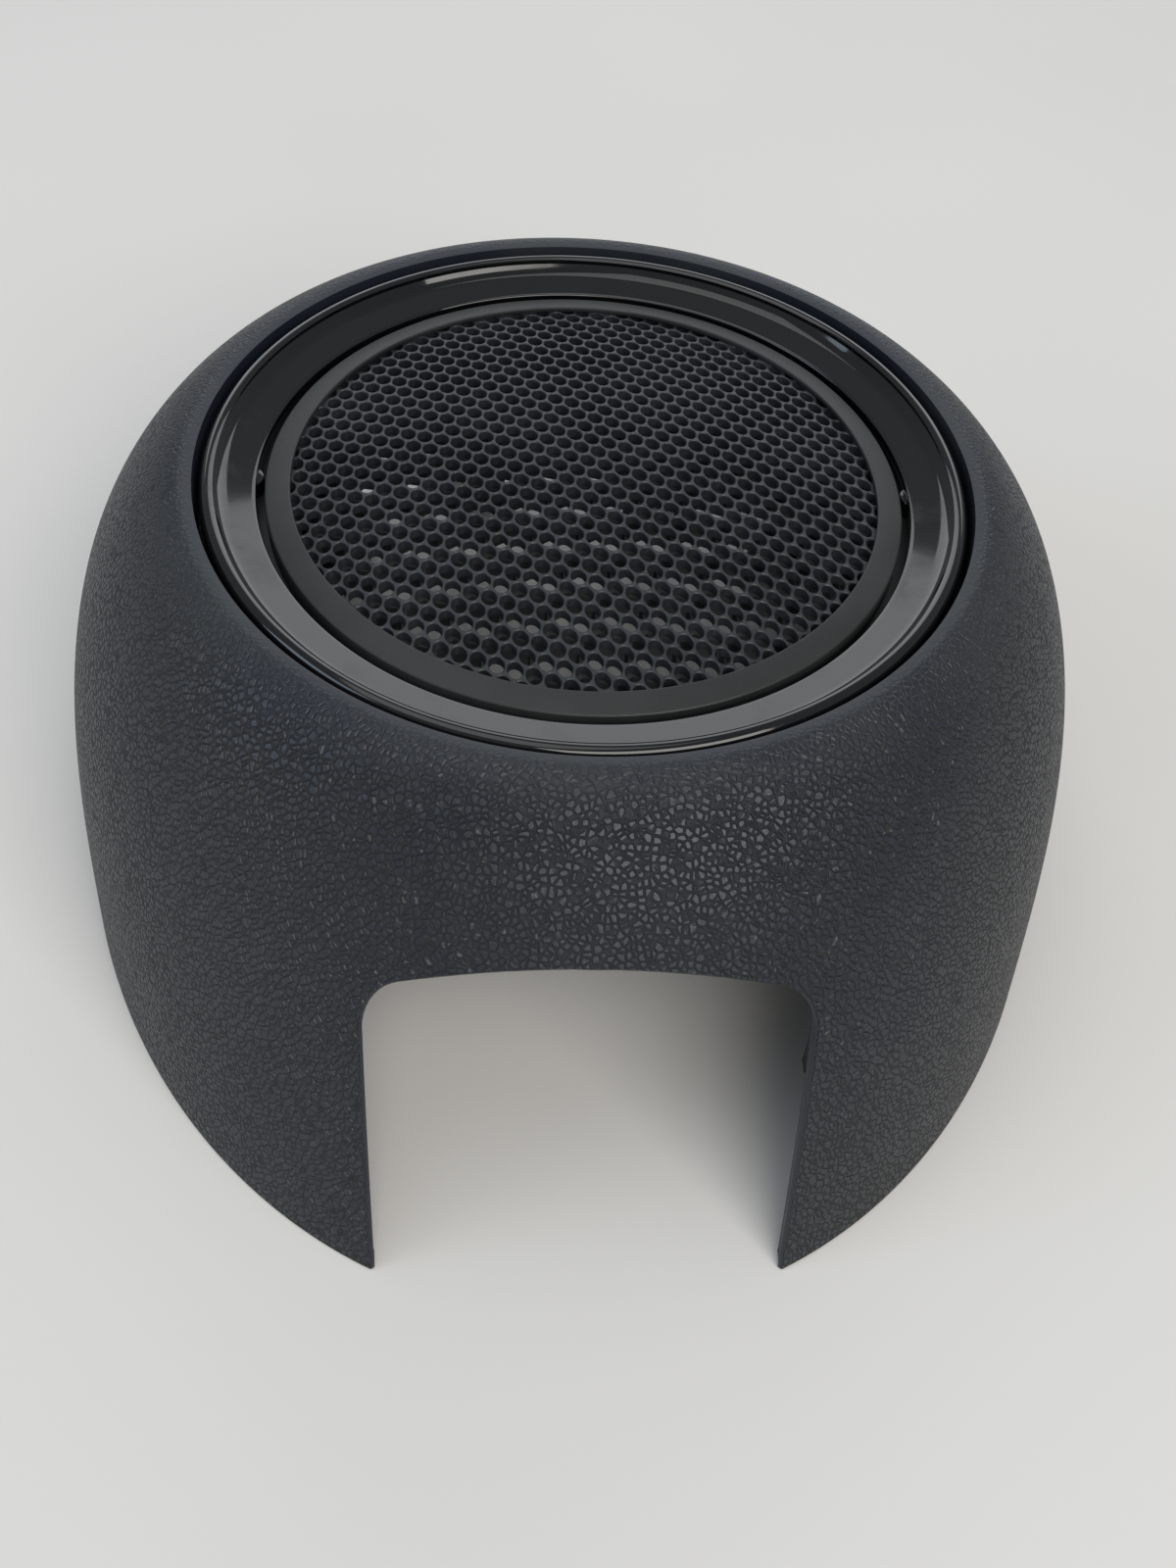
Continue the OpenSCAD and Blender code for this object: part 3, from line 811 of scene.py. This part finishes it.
# The frame behind the plate, with a wider honeycomb on the same turned rows
def makeCarrier():
    comb = {"wall": 0.6, "depth": 3.6, "gap": 0.05, "reach": 38.5, "trim": 36.6,
            "count": 31, "rimIn": 35.9, "flange": 2}
    one = Vector((3 * holes["across"], -0.5 * holes["along"]))
    two = Vector((-2 * holes["across"], -2 * holes["along"]))
    corners = cellCorners(one, two)
    shrink = 1 - comb["wall"] / one.length
    outer, inner = splitSides(corners, 2), splitSides([c * shrink for c in corners], 2)
    bm = bmesh.new()
    rows = [[(p.x, p.y, z) for p in row] for row, z in
            ((outer, 0), (inner, 0), (inner, -comb["depth"]), (outer, -comb["depth"]))]
    bands(bm, rows)
    bmesh.ops.recalc_face_normals(bm, faces=bm.faces)
    if max(bm.faces, key=lambda f: f.calc_center_median().z).normal.z < 0:
        bmesh.ops.reverse_faces(bm, faces=bm.faces)
    top = dome["centre"] - dome["thick"] - comb["gap"]
    mesh = growMesh("carrierComb", lattice, {
        "Tile": hiddenPart("combTile", bm), "Count": comb["count"],
        "Step one": (one.x * mm, one.y * mm, 0),
        "Step two": (two.x * mm, two.y * mm, 0), "Reach": comb["reach"] * mm,
        "Trim": comb["trim"] * mm, "Turn": math.radians(holes["turn"]),
        "Dome radius": dome["radius"] * mm, "Dome rise": dome["rise"] * mm,
        "Place": (0, axisY * mm, top * mm), "Finish": finishes["satin_black"]})
    bm = bmesh.new()
    bm.from_mesh(mesh)
    bmesh.ops.dissolve_degenerate(bm, dist=0.01 * mm, edges=bm.edges)
    bmesh.ops.scale(bm, verts=bm.verts, vec=(1 / mm, 1 / mm, 1 / mm))
    bmesh.ops.translate(bm, verts=bm.verts, vec=(0, -axisY, 0))
    rimIn, foot, step = comb["rimIn"], carrierLow.z, carrierLow.z + comb["flange"]
    seat = boxOf("plate_gasket")[0].z
    section = rounded([(rimIn, foot), (carrierHigh.x, foot), (carrierHigh.x, step), (plateR, step),
                       (plateR, seat), (rimIn, seat)], 0.25)
    revolve(bm, section, 240)
    settle(makePiece("grilleCarrier", bm, 40), "satin_black", "grille_carrier")


makeCarrier()
print("carrier made")


# Mounting towers at (radius, degrees) and clip blades at (x, y), about the grille's axis
towerSpots = [(52.0, 0.0), (52.0, 180.0), (55.3, 49.4), (55.3, 130.6)]
bladeSpots = {"leg_clips": (32.1, -56.1), "rear_clips": (14.0, 44.0)}


# Reach of a six-sided bar, flat to flat twice its radius, with a corner at angle 0
def sixSided(angle, radius):
    return radius / math.cos(angle % (math.pi / 3) - math.pi / 6)


def towerPlaces():
    return [(r * math.cos(math.radians(a)), r * math.sin(math.radians(a)), math.radians(a))
            for r, a in towerSpots]


def makeTowers():
    size = {"radius": 4.2, "bore": 2.42, "foot": 2.9, "boreTop": 10.9, "top": 36.0, "draft": 0.25,
            "seat": (2.3, 2.8), "web": 2.0, "webFoot": 12.0, "webTop": 40, "webReach": 80.0,
            "blade": (9.0, 1.8, 6.0), "chamfer": 0.6}
    seatFrom, seatTo = size["seat"]
    webFoot, webTop = size["webFoot"], size["webTop"]
    sunk = shell["wall"] * 0.5
    bm = bmesh.new()
    for x, y, angle in towerPlaces():
        outline = rounded([(size["bore"], size["foot"]), (size["radius"], size["foot"]),
                           (size["radius"] - size["draft"], size["top"]), (0.02, size["top"]),
                           (0.02, size["boreTop"]), (size["bore"], size["boreTop"])], 0.25)
        before = set(bm.verts)

        def seat(turn, radius, height, start=angle):
            return sixSided(turn - start, radius) - radius if seatFrom < radius < seatTo else 0

        revolve(bm, outline, 48, (x, y), seat)
        for v in set(bm.verts) - before:
            if v.co.z > size["top"] - 1:
                v.co.z = min(roofOver(v.co.x, v.co.y, sunk), ledgeFoot + 1)
        out = Vector((math.cos(angle), math.sin(angle), 0))
        centre = math.hypot(x, y)
        curve = []
        for z in [webFoot + (webTop - webFoot) * k / 12 for k in range(13)]:
            low, high = centre, size["webReach"]
            for _ in range(24):
                reach = (low + high) / 2
                spot = out * reach
                low, high = (reach, high) if roofOver(spot.x, spot.y, sunk) > z else (low, reach)
            curve.append((max(reach, centre), z))
        slab(bm, [(centre, webFoot)] + curve + [(centre, webTop)], out, (0, 0, 1), size["web"])
    wide, thick, foot = size["blade"]
    side, bevel = wide / 2, size["chamfer"]
    for bx, by in bladeSpots.values():
        for hand in (-1, 1):
            steps = [-side + wide * k / 6 for k in range(7)]
            top = [(s, min(roofOver(hand * bx + s, by, sunk), ledgeFoot + 1)) for s in steps]
            outline = [(side, foot + bevel), (side - bevel, foot), (bevel - side, foot),
                       (-side, foot + bevel)]
            slab(bm, outline + top, (1, 0, 0), (0, 0, 1), thick, (hand * bx, by, 0))
    settle(makePiece("shellTowers", bm, 40), "shell_grain")


makeTowers()
print("towers made")


# Copies of one fitting as a single piece, at (x, y, z, turn) places
def scatter(name, fitting, spots, slotName, node):
    seed = bpy.data.meshes.new(name + "Spots")
    seed.from_pydata([(x * mm, (y + axisY) * mm, z * mm) for x, y, z, _ in spots], [], [])
    turns = seed.attributes.new("turn", "FLOAT", "POINT")
    turns.data.foreach_set("value", [t for *_, t in spots])
    mesh = growMesh(name, fittings, {"Fitting": fitting, "Finish": finishes[slotName]}, seed)
    settle(pieceFrom(name, mesh, 32), slotName, node)


def around(count, radius, z, start=0.0):
    return [(radius * math.cos(a), radius * math.sin(a), z, a)
            for a in (math.radians(start) + 2 * math.pi * k / count for k in range(count))]


# A push-on star washer with sprung teeth
def makePushNut():
    nut = {"outer": 2.4, "body": 1.75, "tooth": 1.12, "slot": 1.5, "thick": 0.28, "teeth": 6}
    bm = bmesh.new()
    steps = nut["teeth"] * 8

    def row(radiusAt, z):
        return [(radiusAt(k) * math.cos(2 * math.pi * k / steps),
                 radiusAt(k) * math.sin(2 * math.pi * k / steps), z) for k in range(steps)]

    def tip(k):
        return nut["slot"] if k % 8 in (0, 1) else nut["tooth"]

    t = nut["thick"]
    rows = [row(lambda k: nut["outer"], 0.55), row(lambda k: nut["body"], 0.42), row(tip, 0.1),
            row(tip, 0.1 + t), row(lambda k: nut["body"], 0.42 + t * 0.6),
            row(lambda k: nut["outer"], 0.6)]
    bands(bm, rows + [rows[0]])
    bmesh.ops.remove_doubles(bm, verts=bm.verts, dist=1e-4)
    bmesh.ops.recalc_face_normals(bm, faces=bm.faces)
    return hiddenPart("pushNut", bm)


# A pan-head screw, head down, with a cross recess
def makeScrew():
    size = {"head": 1.9, "headTall": 1.2, "shank": 0.78, "long": 3.5, "pitch": 0.45,
            "slot": 0.24, "arm": 1.1, "deep": 0.65, "taper": 0.7}
    bm = bmesh.new()
    turns = 32
    profile = [(size["head"] * 0.72, 0.0), (size["head"] * 0.9, 0.1), (size["head"], 0.42),
               (size["head"], size["headTall"]), (size["shank"], size["headTall"])]
    z = size["headTall"] + 0.1
    while z < size["headTall"] + size["long"] - 0.5:
        profile += [(size["shank"] - 0.18, z), (size["shank"], z + size["pitch"] / 2)]
        z += size["pitch"]
    profile.append((0.25, size["headTall"] + size["long"]))
    rows = [[(r * math.cos(2 * math.pi * k / turns), r * math.sin(2 * math.pi * k / turns), h)
             for k in range(turns)] for r, h in profile]
    made = bands(bm, rows)
    bm.faces.new(made[-1])
    a, s = size["arm"], size["slot"]
    cross = [(a, -s), (a, s), (s, s), (s, a), (-s, a), (-s, s), (-a, s), (-a, -s), (-s, -s),
             (-s, -a), (s, -a), (s, -s)]
    mouth = [bm.verts.new((x, y, 0)) for x, y in cross]
    floor = [bm.verts.new((x * size["taper"], y * size["taper"], size["deep"])) for x, y in cross]
    loop = [bm.edges.new((mouth[k - 1], mouth[k])) for k in range(len(mouth))]
    rim = [e for e in bm.edges if e.is_boundary and all(v in made[0] for v in e.verts)]
    bmesh.ops.triangle_fill(bm, edges=rim + loop, use_beauty=True, normal=(0, 0, -1))
    for k in range(len(mouth)):
        bm.faces.new((mouth[k - 1], mouth[k], floor[k], floor[k - 1]))
    bm.faces.new(floor)
    bmesh.ops.recalc_face_normals(bm, faces=bm.faces)
    return hiddenPart("carrierScrew", bm)


# A hexagonal brass insert with a waist and a ringed thread
def makeInsert():
    size = {"outer": 2.4, "bore": 1.65, "long": 8.0, "pitch": 0.7, "ridge": 0.22, "waist": 0.3,
            "sixFrom": 2.05}
    outer, bore, long, waist = size["outer"], size["bore"], size["long"], size["waist"]
    outline = [(bore + 0.25, 0.0), (outer - 0.2, 0.0), (outer - 0.15, 0.3), (outer, 0.45),
               (outer, 3.4), (outer - waist, 3.6), (outer - waist, 4.4), (outer, 4.6),
               (outer, 7.6), (outer - 0.25, long), (bore + 0.2, long)]
    z = long - 0.3
    while z > 0.5:
        outline += [(bore, z), (bore + size["ridge"], z - size["pitch"] / 2)]
        z -= size["pitch"]

    def bar(angle, radius, height):
        return sixSided(angle, radius) - radius if radius > size["sixFrom"] else 0

    bm = bmesh.new()
    revolve(bm, outline, 96, wave=bar)
    return hiddenPart("towerInsert", bm)


# A foam washer, slightly uneven all round
def makeWasher():
    size = {"inner": 3.05, "outer": 5.65, "tall": 2.5, "round": 0.35, "uneven": 0.05}
    inner, outer, tall = size["inner"], size["outer"], size["tall"]
    outline = rounded([(inner, 0), (outer, 0), (outer, tall), (inner, tall)], size["round"])

    def swell(angle, radius, height):
        return size["uneven"] * math.sin(3 * angle + height)

    bm = bmesh.new()
    revolve(bm, outline, 48, wave=swell)
    return hiddenPart("towerWasher", bm)


# A folded spring clip with a sprung barb on each face
def makeClip():
    size = {"wide": 7.0, "tall": 10.0, "half": 1.5, "thick": 0.5, "barb": 3.2, "stand": 0.95,
            "lead": 0.25}
    h, t, tall = size["half"], size["thick"], size["tall"]
    bend = [(-h - size["lead"], tall), (-h, 0.0), (h, 0.0), (h, tall), (h - t, tall), (h - t, t),
            (t - h, t), (t - h, tall)]
    bm = bmesh.new()
    slab(bm, rounded(bend, 0.3), (0, 1, 0), (0, 0, 1), size["wide"])
    for hand in (-1, 1):
        inner = hand * (h - 0.2)
        tongue = [(inner, 6.6), (hand * (h + 0.05), 6.9), (hand * (h + size["stand"]), 4.1),
                  (hand * (h + size["stand"] - 0.1), 3.7), (hand * (h + size["stand"] - 0.4), 3.8),
                  (inner, 5.9)]
        slab(bm, tongue, (0, 1, 0), (0, 0, 1), size["barb"])
    return hiddenPart("bladeClip", bm)


def lowOf(node):
    return boxOf(node)[0].z


nutSpots = around(6, postR, lowOf("ring_push_nuts"), 30)
screwSpots = around(6, bossR, lowOf("carrier_screws"))
insertSpots = [(x, y, lowOf("tower_inserts"), a) for x, y, a in towerPlaces()]
washerSpots = [(x, y, lowOf("tower_washers"), a) for x, y, a in towerPlaces()]
scatter("ringPushNuts", makePushNut(), nutSpots, "spring_steel", "ring_push_nuts")
scatter("carrierScrews", makeScrew(), screwSpots, "spring_steel", "carrier_screws")
scatter("towerInserts", makeInsert(), insertSpots, "brass", "tower_inserts")
scatter("towerWashers", makeWasher(), washerSpots, "foam_black", "tower_washers")
clip = makeClip()
for name, node in (("legClips", "leg_clips"), ("rearClips", "rear_clips")):
    bx, by = bladeSpots[node]
    clipSpots = [(hand * bx, by, lowOf(node), 0.0) for hand in (-1, 1)]
    scatter(name, clip, clipSpots, "spring_steel", node)
print("fittings made")


# Felt tape inside the rim, with an uneven free face
def makeFelt(name, node, hand):
    felt = {"thick": 1.0, "low": 2.0, "tall": 9.0, "reach": 30.5, "columns": 70, "rows": 12,
            "gap": 0.03, "fuzz": 0.05, "round": 0.15}
    draw = random.Random(7)
    bm = bmesh.new()
    rows = []
    for k in range(felt["columns"] + 1):
        y = -felt["reach"] + 2 * felt["reach"] * k / felt["columns"]
        row = []
        for face in (0, 1):
            inset = shell["wall"] + felt["gap"] + face * (felt["thick"] - 2 * felt["gap"])
            side = []
            for i in range(felt["rows"] + 1):
                z = felt["low"] + felt["tall"] * i / felt["rows"]
                u = 1 - z / (lipZ - inset)
                reach = abs(wallPoint(u, math.copysign(math.pi / 2, y), inset).y)
                x = wallPoint(u, 0, inset).x * math.sqrt(1 - (y / reach) ** 2)
                fuzz = face * draw.uniform(-felt["fuzz"], felt["fuzz"])
                if i in (0, felt["rows"]):
                    fuzz -= face * felt["round"]
                side.append(bm.verts.new((hand * (x - fuzz), y, z)))
            row.append(side)
        rows.append(row[0] + row[1][::-1])
    count = len(rows[0])
    for here, after in zip(rows, rows[1:]):
        for i in range(count):
            j = (i + 1) % count
            bm.faces.new((here[i], here[j], after[j], after[i]))
    bm.faces.new(rows[0])
    bm.faces.new(rows[-1])
    bmesh.ops.recalc_face_normals(bm, faces=bm.faces)
    settle(makePiece(name, bm, 60), "felt_black", node)


makeFelt("rimFeltLeft", "rim_felt_left", -1)
makeFelt("rimFeltRight", "rim_felt_right", 1)
print("felts made")


# A pale floor, much wider than the view
def makeFloor():
    f = Finish("floorPaper", Specular_IOR_Level=0.25)
    tone = f.span(f.cloud(160, 2.0), 0.3, 0.7)
    f.drive("Base Color", f.blend(tone, shade(0.70, 0.685, 0.665), shade(0.73, 0.715, 0.695)))
    f.drive("Roughness", 0.6 + tone * 0.05)
    bm = bmesh.new()
    bmesh.ops.create_grid(bm, x_segments=8, y_segments=8, size=3000)
    floor = makePiece("floor", bm)
    floor.data.materials.append(f.material)


def addLamp(name, place, aim, size, power, tint=(1.0, 1.0, 1.0)):
    lamp = bpy.data.lights.new(name, "AREA")
    lamp.shape = "RECTANGLE"
    lamp.size, lamp.size_y = size
    lamp.energy = power
    lamp.color = tint
    holder = bpy.data.objects.new(name, lamp)
    bpy.context.scene.collection.objects.link(holder)
    holder.location = place
    holder.rotation_euler = (Vector(aim) - Vector(place)).to_track_quat("-Z", "Y").to_euler()


def makeLight():
    world = bpy.data.worlds.new("room")
    world.use_nodes = True
    back = world.node_tree.nodes["Background"]
    back.inputs["Color"].default_value = shade(0.93, 0.97, 1.0)
    back.inputs["Strength"].default_value = 0.3
    bpy.context.scene.world = world
    centre = (0, 0, 0.03)
    addLamp("ceilingPanel", (-0.25, 0.15, 1.5), centre, (1.2, 0.9), 3.5)
    addLamp("frontWindow", (0.5, -1.05, 1.15), centre, (1.4, 1.0), 19, (1.0, 0.975, 0.93))
    addLamp("backWindow", (0.1, 1.5, 0.75), centre, (1.8, 0.8), 7, (0.93, 0.97, 1.0))
    addLamp("leftWindow", (-1.3, -0.2, 0.8), centre, (0.7, 0.9), 4.5, (0.68, 0.84, 1.0))


def makeCamera():
    view = {"place": (-11.7, -155.6, 127.3), "turn": (39.98, -3.5, -1.5), "lens": 37.22}
    camera = bpy.data.objects.new("camera", bpy.data.cameras.new("camera"))
    bpy.context.scene.collection.objects.link(camera)
    camera.location = Vector(view["place"]) * mm + Vector((0, axisY * mm, bezelZ * mm))
    camera.rotation_euler = [math.radians(a) for a in view["turn"]]
    camera.data.sensor_fit = "VERTICAL"
    camera.data.sensor_height = 36
    camera.data.lens = view["lens"]
    camera.data.clip_start = 0.01
    bpy.context.scene.camera = camera


makeFloor()
makeLight()
makeCamera()
bpy.context.scene.view_settings.view_transform = "Standard"
print("stage made")
